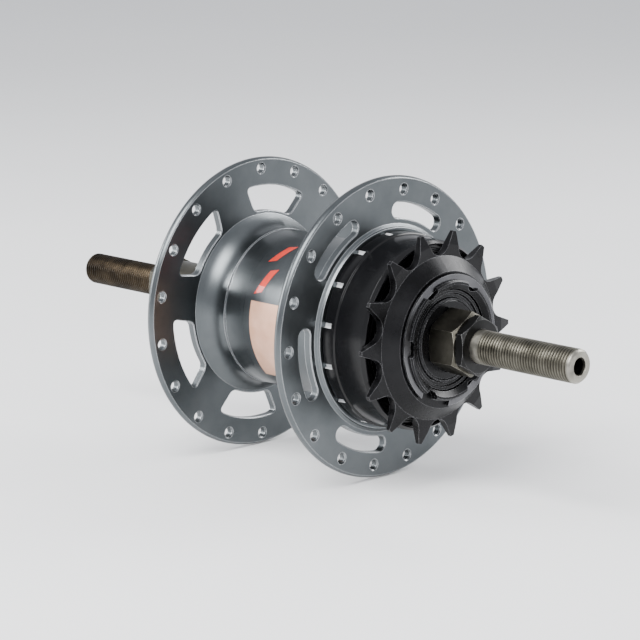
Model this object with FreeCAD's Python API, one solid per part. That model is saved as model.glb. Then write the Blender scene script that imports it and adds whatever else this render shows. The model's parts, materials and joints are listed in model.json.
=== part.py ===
"""Three-speed bicycle hub gear, 36 spoke holes, with its driver, sprocket and internal planetary train.

Frame: millimetres, +X along the axle towards the drive side, +Z up, origin in the middle of the axle.
Angles round the axle start at -Y and grow towards +Z, unless a function says otherwise.
"""
import FreeCAD
import Part
import math
import os

V = FreeCAD.Vector
X_AXIS = V(1, 0, 0)
ORIGIN = V(0, 0, 0)

# ---- fits ----
SEAT = 0.02            # radial gap of a fixed seat, such as a pressed or threaded ring
RUN = 0.06             # radial gap of a running fit
BALL_PLAY = 0.05       # gap between a ball and its race

# ---- axle and what is clamped on it ----
AXLE_R = 5.0           # M10 ends that sit in the dropouts
CORE_R = 4.8           # thinner stretch under everything clamped on the axle
CORE_END = 67.6
AXLE_END = 104.25
AXLE_CHAMFER = 0.8
ROD_BORE_R = 2.5
ROD_BORE_START = 11.0
KEY_SLOT = (11.5, 27.0)
KEY_SLOT_WIDTH = 3.2
LOCK_FACE = 67.5       # half of the 135 mm width between the dropouts
NUT_BORE_R = CORE_R + SEAT
NUT_MOUTH = 0.35
CONE_NUT_AF = 17.0
CONE_NUT = (55.0, 64.6)
LOCK_NUT_AF = 15.6
LEFT_NUT_AF = 17.0
LEFT_NUT_INNER = -62.3
LEFT_SPACER_R = 8.0
LEFT_WASHER = (-43.6, -42.0)

# ---- hub shell ----
FLANGE_R = 45.5
FLANGE_EDGE = 0.7
RIGHT_FLANGE = (28.3, 31.0)
LEFT_FLANGE = (-26.45, -23.75)
RIGHT_SPOKE_CIRCLE_R = 41.5
LEFT_SPOKE_CIRCLE_R = 42.1
SPOKE_HOLE_R = 1.45
SPOKES_PER_FLANGE = 18
RIGHT_HOLE_PHASE = -1.5
LEFT_HOLE_PHASE = 10.0
BARREL_R = 24.0
SHELL_BORE_R = 22.2
FLARE_R = 28.0
FLARE_END = -15.0
LINE_DEPTH = 0.2
LINE_WIDTH = 0.5
RIGHT_BOSS = (32.2, 30.5)      # end and radius of the boss that the ball cup screws into
LEFT_BOSS = (-30.5, 24.0)
THREAD_R = 26.3
THREAD_START = 28.5
SLOT_MID_R = 35.2
SLOT_WIDTH = 4.8
SLOT_HALF_ANGLE = 14.0
SLOT_PHASE = -10.0
WINDOW_PHASE = 100.0
WINDOW_OUTER = (36.8, 19.5)    # radius and half angle
WINDOW_INNER = (28.8, 15.5)
WINDOW_CORNER = 2.0
WINDOWS = 6
LABEL_X = (-4.0, 9.0)
LABEL_ANGLES = (-45.0, 16.0)
LABEL_THICK = 0.14

# ---- bearings: (centre x, pitch radius, ball radius, balls) ----
LEFT_BEARING = (-29.5, 13.5, 3.0, 12)
OUTER_BEARING = (38.2, 24.6, 2.4, 28)
INNER_BEARING = (50.5, 12.6, 2.4, 13)
CAGE_HALF_WALL = 0.4
CAGE_RAIL = 0.5

# ---- left ball cup, cone and cap ----
LEFT_CUP_INNER_END = -19.5
LEFT_CUP_LIP = -25.6
LEFT_RATCHET = (17.0, 18.3)    # tip and root radius
LEFT_CONE_BACK = -42.0
LEFT_CONE_R = 8.5
LEFT_CAP_R = 18.0
LEFT_CAP_WALL = 1.1
LEFT_CAP_FRONT = -38.0
LEFT_CONE_TAPER = (-36.0, -34.2)

# ---- right ball cup: the black drum with fifteen tool notches ----
DRUM_R = 29.4
DRUM_FRONT_R = 28.1
DRUM_FRONT = 47.6
DRUM_STEP = 36.6
DRUM_RIM_BORE = 26.9
DRUM_NOTCHES = 15
DRUM_NOTCH = (3.2, 1.5, 1.1)   # length, width and depth
DRUM_NOTCH_PHASE = 10.7
RIGHT_RATCHET = (22.2, 23.4)
RIGHT_RATCHET_END = 33.4
RATCHET_TEETH = 24
RATCHET_GAP = 1.6              # degrees between a pawl's nose and the steep face ahead of it

# ---- driver ----
DRIVER_START = 15.5
DRIVER_TUBE_R = 12.5
DRIVER_BORE_R = 8.5
DRIVER_TAPER = (34.0, 36.0)
DRIVER_FLANGE = 42.5
DRIVER_FLANGE_R = 21.6
DRIVER_SHOULDER = (45.6, 20.3)
DRIVER_SEAT_R = 17.8
DRIVER_END = 56.8
DRIVER_MOUTH_R = 15.1
DRIVER_SLOT_WIDTH = 4.3
DRIVER_SLOT_END = 30.5
SNAP_RING = (55.0, 55.7)
SNAP_RING_R = (16.95, 19.5)

# ---- sprocket ----
TEETH = 14
CHAIN_PITCH = 12.7
ROLLER_SEAT_R = 4.05
TOOTH_TIP_R = 31.6
TOOTH_TIP_WIDTH = 1.3
TOOTH_PLANE = 50.0
TOOTH_BEVEL_R = 27.6
PLATE = 2.3
SPROCKET_SEAT = (52.3, 54.6)
DISH_R = (19.3, 23.8)
SPROCKET_BORE_R = 17.9
LUGS = 6
LUG_CENTRE_R = 18.4
LUG_R = 2.55
SPACER_R = 18.9

# ---- planetary train ----
MODULE = 0.75
PRESSURE = math.radians(25.0)
SUN_TEETH = 18
PLANET_TEETH = 15
RING_TEETH = SUN_TEETH + 2 * PLANET_TEETH
PLANETS = 3
CENTRE_R = MODULE * (SUN_TEETH + PLANET_TEETH) / 2
ADDENDUM = 0.85
DEDENDUM = 1.2
BACKLASH = 0.10
PLANET_X = (-6.5, 7.5)
SUN_X = (-8.0, 9.5)
RING_X = (-7.5, 10.0)
PIN_R = 1.9
CAGE_R = 16.4
CAGE_PLATE_L = (-10.5, -7.0)
CAGE_PLATE_R = (8.0, 11.0)
CAGE_DOG_END = 14.2
CAGE_NECK_R = 11.0
CAGE_PAWL_X = (-24.8, -20.4)
CAGE_PAWL_DISC_R = 16.0
RING_R = 21.0
RING_SPLINE_START = 19.0
RING_END = 32.6
RING_CHAMBER_R = 16.6
RING_BORE_R = DRIVER_TUBE_R + RUN

# ---- clutch and shift rod ----
CLUTCH_X = (22.0, 26.0)
CLUTCH_ARM_R = 15.4
CLUTCH_ARM_WIDTH = 4.0
CLUTCH_HUB_R = 8.2
CLUTCH_BORE_R = 5.4
CLUTCH_ARMS = 4
ROD_R = 2.3
ROD_END = 97.0
KEY_X = (19.4, 21.9)
KEY_WIDTH = 2.8
KEY_HALF = 7.6
SPRING_R = 6.7
SPRING_WIRE_R = 0.5
SPRING_TURNS = 8

# ---- pawls, drawn at the top of the hub: t is along the direction of drive, rho is outward ----
PAWL_PIN_R = 0.9
RIGHT_PAWL_X = (28.9, 32.3)
RIGHT_PAWL_PIVOT = 18.9
RIGHT_PAWL_NOSE = 22.35
LEFT_PAWL_NOSE = 16.0
PAWL_COUNT = 2
LEFT_PAWL_X = (-23.4, -20.4)
LEFT_PAWL_PIVOT = 13.4
PAWL_BOSS_R = 1.7
PAWL_REACH = 5.6


def polar(x, radius, degrees):
    """Point at an angle round the axle, from -Y towards +Z."""
    a = math.radians(degrees)
    return V(x, -radius * math.cos(a), radius * math.sin(a))


def turned(shape, degrees):
    """Turn a shape round the axle, from -Y towards +Z."""
    copy = shape.copy()
    copy.rotate(ORIGIN, X_AXIS, -degrees)
    return copy


def around(shape, count, phase=0.0):
    return [turned(shape, phase + 360.0 * k / count) for k in range(count)]


def rod(x0, x1, radius, y=0.0, z=0.0):
    return Part.makeCylinder(radius, x1 - x0, V(x0, y, z), X_AXIS)


def ring(x0, x1, r_in, r_out):
    return rod(x0, x1, r_out).cut(rod(x0 - 1, x1 + 1, r_in))


def block(x0, x1, y0, y1, z0, z1):
    return Part.makeBox(x1 - x0, y1 - y0, z1 - z0, V(x0, y0, z0))


def lathe(points):
    """Solid of revolution about the axle from (x, radius) corners; a third value is an arc's middle."""
    edges = []
    corners = points + [points[0]]
    for a, b in zip(corners, corners[1:]):
        start = V(a[0], 0, a[1])
        end = V(b[0], 0, b[1])
        if len(b) == 3:
            middle = V(b[2][0], 0, b[2][1])
            edges.append(Part.Arc(start, middle, end).toShape())
        else:
            edges.append(Part.makeLine(start, end))
    face = Part.Face(Part.Wire(edges))
    return face.revolve(ORIGIN, X_AXIS, 360)


def prism(points, x0, x1):
    """Prism along the axle from corners in the Y-Z plane."""
    corners = [V(x0, y, z) for y, z in points]
    face = Part.Face(Part.makePolygon(corners + [corners[0]]))
    return face.extrude(V(x1 - x0, 0, 0))


def hexagon(x0, x1, across_flats, bore_r):
    """Hexagonal nut, chamfered at the corners and at both mouths of its bore."""
    corner_r = across_flats / math.sqrt(3)
    points = []
    for k in range(6):
        a = math.radians(60 * k)
        points.append((corner_r * math.sin(a), corner_r * math.cos(a)))
    bevel = 0.55 * (corner_r - across_flats / 2)
    flat_r = across_flats / 2
    envelope = lathe([
        (x0, 0), (x0, flat_r), (x0 + bevel, corner_r), (x1 - bevel, corner_r), (x1, flat_r), (x1, 0),
    ])
    mouth_r = bore_r + NUT_MOUTH
    bore = lathe([
        (x0 - 1, 0), (x0 - 1, mouth_r), (x0, mouth_r), (x0 + NUT_MOUTH, bore_r),
        (x1 - NUT_MOUTH, bore_r), (x1, mouth_r), (x1 + 1, mouth_r), (x1 + 1, 0),
    ])
    return prism(points, x0, x1).common(envelope).cut(bore)


def race(bearing):
    """Ring-shaped space swept by the balls, with their play."""
    x, pitch_r, ball_r, _ = bearing
    return Part.makeTorus(pitch_r, ball_r + BALL_PLAY, V(x, 0, 0), X_AXIS)


def balls(bearing):
    x, pitch_r, ball_r, count = bearing
    spheres = [Part.makeSphere(ball_r, polar(x, pitch_r, 360.0 * k / count)) for k in range(count)]
    return Part.makeCompound(spheres)


def ball_cage(bearing):
    """Thin ring with a round pocket for each ball."""
    x, pitch_r, ball_r, count = bearing
    half = ball_r + CAGE_RAIL
    body = ring(x - half, x + half, pitch_r - CAGE_HALF_WALL, pitch_r + CAGE_HALF_WALL)
    for k in range(count):
        centre = polar(x, pitch_r - 2, 360.0 * k / count)
        body = body.cut(Part.makeCylinder(ball_r + 0.12, 4, centre, polar(0, 1, 360.0 * k / count)))
    return body


# ---- gear teeth ----

def involute(angle):
    return math.tan(angle) - angle


def half_thickness(teeth, radius, sign):
    """Half the angle that a tooth (sign 1) or a space (sign -1) covers at a radius."""
    pitch_r = MODULE * teeth / 2
    base_r = pitch_r * math.cos(PRESSURE)
    at_pitch = math.pi / (2 * teeth) - sign * BACKLASH / (2 * pitch_r)
    inside = min(1.0, base_r / radius)
    return at_pitch + involute(PRESSURE) - involute(math.acos(inside))


def gear_outline(teeth, tip_r, root_r, sign, phase):
    """Corners of a gear whose first tooth, or space for sign -1, is centred on phase, measured from +Y."""
    base_r = MODULE * teeth / 2 * math.cos(PRESSURE)
    start_r = max(root_r, base_r)
    flank = [start_r + (tip_r - start_r) * k / 3 for k in range(4)]
    widths = [half_thickness(teeth, r, sign) for r in flank]
    if root_r < start_r:
        flank.insert(0, root_r)
        widths.insert(0, widths[0])
    points = []
    for tooth in range(teeth):
        centre = math.radians(phase) + 2 * math.pi * tooth / teeth
        for r, w in zip(flank, widths):
            points.append((r * math.cos(centre - w), r * math.sin(centre - w)))
        for r, w in zip(reversed(flank), reversed(widths)):
            points.append((r * math.cos(centre + w), r * math.sin(centre + w)))
    return points


def outer_gear(teeth, span, phase, bore_r):
    pitch_r = MODULE * teeth / 2
    outline = gear_outline(teeth, pitch_r + ADDENDUM * MODULE, pitch_r - DEDENDUM * MODULE, 1, phase)
    return prism(outline, *span).cut(rod(span[0] - 1, span[1] + 1, bore_r))


def planet_angle(k):
    """Where planet k sits, measured from +Y towards +Z."""
    return 90.0 + 360.0 * k / PLANETS


def planet_phase(k):
    """Tooth angle that puts a planet in mesh with the sun, whose first tooth points along +Y."""
    beta = planet_angle(k)
    return beta + 180 + beta * SUN_TEETH / PLANET_TEETH - 180.0 / PLANET_TEETH


def ring_space_phase():
    """Angle of a ring gear space that faces a tooth of the first planet."""
    beta = planet_angle(0)
    tooth_offset = (planet_phase(0) - beta) * PLANET_TEETH / 360.0
    return beta + (tooth_offset % 1.0) * 360.0 / RING_TEETH


def planet_place(k):
    a = math.radians(planet_angle(k))
    return V(0, CENTRE_R * math.cos(a), CENTRE_R * math.sin(a))


# ---- pieces on the axle ----

def make_axle():
    body = lathe([
        (-AXLE_END, 0), (-AXLE_END, AXLE_R - AXLE_CHAMFER), (-AXLE_END + AXLE_CHAMFER, AXLE_R),
        (-CORE_END, AXLE_R), (-CORE_END, CORE_R), (CORE_END, CORE_R), (CORE_END, AXLE_R),
        (AXLE_END - AXLE_CHAMFER, AXLE_R), (AXLE_END, AXLE_R - AXLE_CHAMFER), (AXLE_END, 0),
    ])
    bore = rod(ROD_BORE_START, AXLE_END + 1, ROD_BORE_R)
    half = KEY_SLOT_WIDTH / 2
    slot = block(KEY_SLOT[0], KEY_SLOT[1], -AXLE_R - 1, AXLE_R + 1, -half, half)
    return body.cut(bore).cut(slot)


def make_left_cone():
    x, pitch_r, ball_r, _ = LEFT_BEARING
    body = lathe([
        (LEFT_CONE_BACK, NUT_BORE_R), (LEFT_CONE_BACK, LEFT_CONE_R), (LEFT_CONE_TAPER[0], LEFT_CONE_R),
        (LEFT_CONE_TAPER[1], pitch_r - 0.8), (x, pitch_r - 0.8), (x, NUT_BORE_R),
    ])
    return body.cut(race(LEFT_BEARING))


def make_right_cone():
    x, pitch_r, ball_r, _ = INNER_BEARING
    land = pitch_r - ball_r - BALL_PLAY
    body = lathe([
        (x - 2.5, NUT_BORE_R), (x - 2.5, 8.0), (x - 1.5, land - 0.3), (x, land - 0.3), (x, pitch_r - 0.7),
        (54.7, pitch_r - 0.7), (55.0, pitch_r - 1.1), (55.0, NUT_BORE_R),
    ])
    return body.cut(race(INNER_BEARING))


def make_right_dust_cap():
    inner = INNER_BEARING[1] - 0.7 + SEAT
    return lathe([
        (53.6, inner), (53.6, 14.7), (54.9, 14.7), (54.9, 13.9),
        (54.3, 13.5), (54.3, 12.7), (54.9, 12.3), (54.9, inner),
    ])


def make_clutch_spring():
    start = CLUTCH_X[1] + SPRING_WIRE_R + 0.1
    end = INNER_BEARING[0] - 2.5 - SPRING_WIRE_R - 0.1
    length = end - start
    helix = Part.makeHelix(length / SPRING_TURNS, length, SPRING_R)
    profile = Part.Wire(Part.makeCircle(SPRING_WIRE_R, V(SPRING_R, 0, 0), V(0, 1, 0)))
    coil = Part.Wire(helix).makePipeShell([profile], True, True)
    coil.rotate(ORIGIN, V(0, 1, 0), 90)
    coil.translate(V(start, 0, 0))
    return coil


# ---- hub shell ----

def flange_slot():
    """Curved slot with round ends, centred on angle 0."""
    r0 = SLOT_MID_R - SLOT_WIDTH / 2
    r1 = SLOT_MID_R + SLOT_WIDTH / 2
    x0 = RIGHT_FLANGE[0] - 1
    x1 = RIGHT_FLANGE[1] + 1
    body = sector(x0, x1, (r0, SLOT_HALF_ANGLE), (r1, SLOT_HALF_ANGLE))
    for side in (-1, 1):
        end = polar(x0, SLOT_MID_R, side * SLOT_HALF_ANGLE)
        body = body.fuse(Part.makeCylinder(SLOT_WIDTH / 2, x1 - x0, end, X_AXIS))
    return body


def sector(x0, x1, inner, outer):
    """Ring sector about angle 0; inner and outer are (radius, half angle)."""
    corners = [polar(x0, inner[0], -inner[1]), polar(x0, outer[0], -outer[1])]
    corners += [polar(x0, outer[0], outer[1]), polar(x0, inner[0], inner[1])]
    edges = [
        Part.makeLine(corners[0], corners[1]),
        Part.Arc(corners[1], polar(x0, outer[0], 0), corners[2]).toShape(),
        Part.makeLine(corners[2], corners[3]),
        Part.Arc(corners[3], polar(x0, inner[0], 0), corners[0]).toShape(),
    ]
    return Part.Face(Part.Wire(edges)).extrude(V(x1 - x0, 0, 0))


def flange_window():
    """Rounded trapezoid window, centred on angle 0."""
    body = sector(LEFT_FLANGE[0] - 1, LEFT_FLANGE[1] + 1, WINDOW_INNER, WINDOW_OUTER)
    upright = [e for e in body.Edges if abs(e.Length - (LEFT_FLANGE[1] - LEFT_FLANGE[0] + 2)) < 1e-6]
    return body.makeFillet(WINDOW_CORNER, upright)


def make_hub_shell():
    e = FLANGE_EDGE
    left_out, left_in = LEFT_FLANGE
    right_in, right_out = RIGHT_FLANGE
    body = lathe([
        (LEFT_BOSS[0], SHELL_BORE_R), (LEFT_BOSS[0], LEFT_BOSS[1] - 0.5),
        (LEFT_BOSS[0] + 0.5, LEFT_BOSS[1]), (left_out, LEFT_BOSS[1] + 0.6), (left_out, FLANGE_R - e),
        (left_in, FLANGE_R - e, ((left_out + left_in) / 2, FLANGE_R)),
        (left_in, FLARE_R), (FLARE_END, BARREL_R + LINE_DEPTH, (-20.8, 25.2)),
        (FLARE_END, BARREL_R - LINE_DEPTH), (FLARE_END + LINE_WIDTH, BARREL_R - LINE_DEPTH),
        (FLARE_END + LINE_WIDTH, BARREL_R), (right_in - 1.6, BARREL_R),
        (right_in, BARREL_R + 1.6, (right_in - 0.45, BARREL_R + 0.45)),
        (right_in, FLANGE_R - e), (right_out, FLANGE_R - e, ((right_in + right_out) / 2, FLANGE_R)),
        (right_out, RIGHT_BOSS[1] + 0.8), (right_out + 0.6, RIGHT_BOSS[1]),
        (RIGHT_BOSS[0], RIGHT_BOSS[1] - 0.3), (RIGHT_BOSS[0], THREAD_R), (THREAD_START, THREAD_R),
        (THREAD_START, SHELL_BORE_R),
    ])
    cutters = []
    for k in range(SPOKES_PER_FLANGE):
        step = 360.0 / SPOKES_PER_FLANGE
        right = polar(right_in - 1, RIGHT_SPOKE_CIRCLE_R, RIGHT_HOLE_PHASE + step * k)
        left = polar(left_out - 1, LEFT_SPOKE_CIRCLE_R, LEFT_HOLE_PHASE + step * k)
        cutters.append(Part.makeCylinder(SPOKE_HOLE_R, 6, right, X_AXIS))
        cutters.append(Part.makeCylinder(SPOKE_HOLE_R, 6, left, X_AXIS))
    cutters += around(flange_slot(), WINDOWS, SLOT_PHASE)
    cutters += around(flange_window(), WINDOWS, WINDOW_PHASE)
    return body.cut(cutters)


def make_shell_label():
    low, high = LABEL_ANGLES
    inner = BARREL_R + SEAT
    half = (high - low) / 2
    patch = sector(LABEL_X[0], LABEL_X[1], (inner, half), (inner + LABEL_THICK, half))
    return turned(patch, (high + low) / 2)


def ratchet(tip_r, root_r, x0, x1, phase):
    """Saw-toothed space cut inside a ball cup; steep faces look against the direction of drive."""
    points = []
    for k in range(RATCHET_TEETH):
        face = math.radians(phase + 360.0 * k / RATCHET_TEETH)
        back = face + 2 * math.pi / RATCHET_TEETH
        points.append((tip_r * math.cos(face), tip_r * math.sin(face)))
        points.append((root_r * math.cos(face), root_r * math.sin(face)))
        for part in (1, 2):
            a = face + (back - face) * part / 3
            r = root_r + (tip_r - root_r) * part / 3
            points.append((r * math.cos(a), r * math.sin(a)))
    return prism(points, x0, x1)


def pawl_nose_angle(nose_rho):
    """Angle from +Y of a pawl's nose, for a pawl drawn at the top of the hub."""
    return 90.0 - math.degrees(math.atan2(PAWL_REACH, nose_rho))


def make_right_ball_cup():
    x, pitch_r, ball_r, _ = OUTER_BEARING
    outside_end = RIGHT_BOSS[0]
    tip_r, root_r = RIGHT_RATCHET
    body = lathe([
        (THREAD_START, tip_r - 1), (THREAD_START, THREAD_R - SEAT), (outside_end, THREAD_R - SEAT),
        (outside_end, DRUM_R - 0.5), (outside_end + 0.5, DRUM_R),
        (DRUM_STEP, DRUM_R - 0.2), (DRUM_STEP + 0.3, DRUM_R - 0.6),
        (DRUM_FRONT - 1.0, DRUM_FRONT_R + 0.1), (DRUM_FRONT, DRUM_FRONT_R - 0.7),
        (DRUM_FRONT, DRUM_RIM_BORE), (DRUM_FRONT - 4.4, DRUM_RIM_BORE),
        (DRUM_FRONT - 4.8, DRUM_RIM_BORE + 0.2),
        (x, DRUM_RIM_BORE + 0.2), (x, pitch_r + 0.8), (RIGHT_RATCHET_END + 0.6, pitch_r + 0.8),
        (RIGHT_RATCHET_END, root_r + 0.4), (RIGHT_RATCHET_END, tip_r - 1),
    ])
    face = pawl_nose_angle(RIGHT_PAWL_NOSE) - RATCHET_GAP
    teeth = ratchet(tip_r, root_r, THREAD_START - 1, RIGHT_RATCHET_END + 1, face)
    length, width, depth = DRUM_NOTCH
    half = width / 2
    notch = block(outside_end - 1, outside_end + length, -DRUM_R - 1, -DRUM_R + depth, -half, half)
    notches = around(notch, DRUM_NOTCHES, DRUM_NOTCH_PHASE)
    return body.cut([race(OUTER_BEARING), teeth] + notches)


def make_left_ball_cup():
    x, pitch_r, ball_r, _ = LEFT_BEARING
    tip_r, root_r = LEFT_RATCHET
    open_r = pitch_r + ball_r + BALL_PLAY
    outer_r = SHELL_BORE_R - SEAT
    body = lathe([
        (LEFT_BOSS[0], open_r), (LEFT_BOSS[0], outer_r),
        (LEFT_CUP_INNER_END, outer_r), (LEFT_CUP_INNER_END, tip_r - 1),
        (LEFT_CUP_LIP, tip_r - 1), (LEFT_CUP_LIP, pitch_r + 0.8), (x, pitch_r + 0.8), (x, open_r),
    ])
    teeth = ratchet(tip_r, root_r, LEFT_CUP_LIP, LEFT_CUP_INNER_END + 1, 0.0)
    return body.cut([race(LEFT_BEARING), teeth])


def make_left_dust_cap():
    seat = LEFT_BOSS[0]
    front = LEFT_CAP_FRONT
    wall = LEFT_CAP_R - LEFT_CAP_WALL
    return lathe([
        (seat, wall), (seat, 21.8), (seat - 1.0, 21.8), (seat - 1.0, LEFT_CAP_R),
        (front + 0.6, LEFT_CAP_R), (front, LEFT_CAP_R - 0.6), (front, LEFT_CONE_R + 0.4), (front + 1.0, LEFT_CONE_R + 0.4),
        (front + 1.0, wall),
    ])


# ---- driver side ----

def make_driver():
    x, pitch_r, ball_r, _ = OUTER_BEARING
    xi, pitch_i, ball_i, _ = INNER_BEARING
    shoulder, shoulder_r = DRIVER_SHOULDER
    race_left_r = pitch_r - ball_r - BALL_PLAY
    groove_r = SNAP_RING_R[0] - 0.05
    body = lathe([
        (DRIVER_START, DRIVER_BORE_R), (DRIVER_START, DRIVER_TUBE_R),
        (DRIVER_TAPER[0], DRIVER_TUBE_R), (DRIVER_TAPER[1], race_left_r - 2.2),
        (x, race_left_r - 0.3), (x, pitch_r - 0.8),
        (DRIVER_FLANGE, pitch_r - 0.8), (DRIVER_FLANGE, DRIVER_FLANGE_R),
        (DRIVER_FLANGE + 1.6, DRIVER_FLANGE_R), (DRIVER_FLANGE + 2.0, shoulder_r),
        (shoulder, shoulder_r), (shoulder, DRIVER_SEAT_R),
        (SNAP_RING[0] - 0.05, DRIVER_SEAT_R), (SNAP_RING[0] - 0.05, groove_r),
        (SNAP_RING[1] + 0.05, groove_r), (SNAP_RING[1] + 0.05, DRIVER_SEAT_R),
        (DRIVER_END - 0.5, DRIVER_SEAT_R), (DRIVER_END, DRIVER_SEAT_R - 0.5),
        (DRIVER_END, DRIVER_SEAT_R - 1.2), (DRIVER_END - 1.4, DRIVER_MOUTH_R), (xi, DRIVER_MOUTH_R),
        (xi, pitch_i + 0.7), (xi - 3.0, pitch_i + 0.7), (xi - 3.0, DRIVER_BORE_R),
    ])
    lug_space = rod(SPROCKET_SEAT[0] - 0.35, DRIVER_END + 1, LUG_R + 0.1, y=-LUG_CENTRE_R)
    half = DRIVER_SLOT_WIDTH / 2
    slot = block(DRIVER_START - 1, DRIVER_SLOT_END, -DRIVER_TUBE_R - 1, -AXLE_R, -half, half)
    cutters = around(lug_space, LUGS) + around(slot, CLUTCH_ARMS)
    return body.cut([race(OUTER_BEARING), race(INNER_BEARING)] + cutters)


def make_drum_dust_cap():
    """Ridged plate that closes the mouth of the drum round the driver."""
    edge_r = DRUM_RIM_BORE - 0.4
    x = DRIVER_FLANGE
    top = x + 1.4
    low = x + 1.0
    corners = [(x, DRIVER_FLANGE_R + SEAT), (x, edge_r), (top, edge_r)]
    for ridge_r in (25.6, 24.4, 23.2):
        corners += [(top, ridge_r + 0.25), (low, ridge_r), (low, ridge_r - 0.4), (top, ridge_r - 0.65)]
    corners += [(top, DRIVER_FLANGE_R + SEAT)]
    return lathe(corners)


def make_sprocket_spacer():
    x0 = DRIVER_SHOULDER[0]
    x1 = SPROCKET_SEAT[0]
    bore = DRIVER_SEAT_R + SEAT
    middle = (x0 + x1) / 2
    return lathe([
        (x0, bore), (x0, SPACER_R - 0.2), (x0 + 0.2, SPACER_R),
        (middle - 0.5, SPACER_R), (middle - 0.3, SPACER_R - 0.3),
        (middle + 0.3, SPACER_R - 0.3), (middle + 0.5, SPACER_R),
        (x1 - 0.2, SPACER_R), (x1, SPACER_R - 0.2), (x1, bore),
    ])


def sprocket_outline():
    """Wire of the tooth form: roller seats joined to narrow tips by straight flanks."""
    pitch_r = CHAIN_PITCH / 2 / math.sin(math.pi / TEETH)
    seat_half = math.radians(58.0)
    tip_half = TOOTH_TIP_WIDTH / 2 / TOOTH_TIP_R
    edges = []
    first = None
    last = None
    for k in range(TEETH):
        seat = 2 * math.pi * (k + 0.5) / TEETH
        tip = 2 * math.pi * k / TEETH
        points = []
        for turn in (-seat_half, 0.0, seat_half):
            a = seat + math.pi - turn
            y = pitch_r * math.cos(seat) + ROLLER_SEAT_R * math.cos(a)
            z = pitch_r * math.sin(seat) + ROLLER_SEAT_R * math.sin(a)
            points.append(V(0, y, z))
        points.sort(key=lambda p: (math.atan2(p.z, p.y) - seat + math.pi) % (2 * math.pi))
        tips = []
        for a in (tip - tip_half, tip + tip_half):
            tips.append(V(0, TOOTH_TIP_R * math.cos(a), TOOTH_TIP_R * math.sin(a)))
        if last is not None:
            edges.append(Part.makeLine(last, tips[0]))
        else:
            first = tips[0]
        edges.append(Part.makeLine(tips[0], tips[1]))
        edges.append(Part.makeLine(tips[1], points[0]))
        edges.append(Part.Arc(points[0], points[1], points[2]).toShape())
        last = points[2]
    edges.append(Part.makeLine(last, first))
    return Part.Wire(edges)


def make_sprocket():
    half = PLATE / 2
    x0 = TOOTH_PLANE - half
    x1 = TOOTH_PLANE + half
    s0, s1 = SPROCKET_SEAT
    tip = TOOTH_TIP_R + 1
    plate = lathe([
        (s0, SPROCKET_BORE_R), (s0, DISH_R[0] + 0.3), (x0, DISH_R[1]), (x0, TOOTH_BEVEL_R),
        (TOOTH_PLANE - 0.45, tip), (TOOTH_PLANE + 0.45, tip), (x1, TOOTH_BEVEL_R),
        (x1, DISH_R[1] + 0.5), (s1, DISH_R[0] + 0.9), (s1, SPROCKET_BORE_R),
    ])
    teeth = Part.Face(sprocket_outline()).extrude(V(60, 0, 0))
    body = plate.common(teeth)
    lug = rod(s0, s1, LUG_R, y=-LUG_CENTRE_R).common(rod(s0 - 1, s1 + 1, SPROCKET_BORE_R + 0.6))
    for shape in around(lug, LUGS):
        body = body.fuse(shape)
    return body.removeSplitter()


def make_snap_ring():
    body = ring(SNAP_RING[0], SNAP_RING[1], SNAP_RING_R[0], SNAP_RING_R[1])
    gap = block(SNAP_RING[0] - 1, SNAP_RING[1] + 1, -6.0, 6.0, -30, 0)
    return turned(body.cut(gap), 20)


# ---- gear train ----

def make_ring_gear():
    pitch_r = MODULE * RING_TEETH / 2
    outline = gear_outline(
        RING_TEETH, pitch_r + DEDENDUM * MODULE, pitch_r - ADDENDUM * MODULE, -1, ring_space_phase())
    body = rod(RING_X[0], RING_END, RING_R)
    cavity = prism(outline, RING_X[0] - 1, RING_X[1])
    bore = rod(RING_X[0] - 1, RING_X[1] + 0.5, pitch_r - ADDENDUM * MODULE)
    chamber = rod(RING_X[1] - 0.5, RING_SPLINE_START, RING_CHAMBER_R)
    half = DRIVER_SLOT_WIDTH / 2
    spline = block(RING_SPLINE_START - 1, RING_END + 1, -CLUTCH_ARM_R - 0.3, 0, -half, half)
    relief = lathe([
        (13.0, RING_R - 1.6), (13.0, RING_R + 1), (25.0, RING_R + 1), (25.0, RING_R - 1.6),
    ])
    through = rod(0, RING_END + 1, RING_BORE_R)
    cutters = [cavity, bore, chamber, through, relief] + around(spline, CLUTCH_ARMS)
    cutters += pawl_pockets(RIGHT_PAWL_X, RIGHT_PAWL_PIVOT, RING_R)
    return body.cut(cutters)


def make_planet_cage():
    body = ring(CAGE_PLATE_L[0], CAGE_PLATE_L[1], 8.3, CAGE_R)
    body = body.fuse(ring(CAGE_PLATE_R[0], CAGE_PLATE_R[1], 8.3, CAGE_R))
    body = body.fuse(ring(CAGE_PAWL_X[0], CAGE_PLATE_L[0] + 0.01, CORE_R + RUN, CAGE_NECK_R))
    body = body.fuse(ring(CAGE_PAWL_X[0], CAGE_PAWL_X[1], CORE_R + RUN, CAGE_PAWL_DISC_R))
    for k in range(PLANETS):
        a = math.radians(planet_angle(k) + 180.0 / PLANETS)
        y = CENTRE_R * math.cos(a)
        z = CENTRE_R * math.sin(a)
        body = body.fuse(rod(CAGE_PLATE_L[0], CAGE_DOG_END, 2.6, y=y, z=z))
    holes = []
    for k in range(PLANETS):
        place = planet_place(k)
        holes.append(rod(CAGE_PLATE_L[0] - 1, CAGE_PLATE_R[1] + 1, PIN_R + SEAT, place.y, place.z))
    pockets = pawl_pockets(LEFT_PAWL_X, LEFT_PAWL_PIVOT, CAGE_PAWL_DISC_R)
    return body.cut(holes + pockets).removeSplitter()


def make_planet_pins():
    pins = []
    for k in range(PLANETS):
        place = planet_place(k)
        pins.append(rod(CAGE_PLATE_L[0], CAGE_PLATE_R[1], PIN_R, place.y, place.z))
    return Part.makeCompound(pins)


def make_planet(k):
    gear = outer_gear(PLANET_TEETH, PLANET_X, planet_phase(k), PIN_R + RUN)
    gear.translate(planet_place(k))
    return gear


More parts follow.
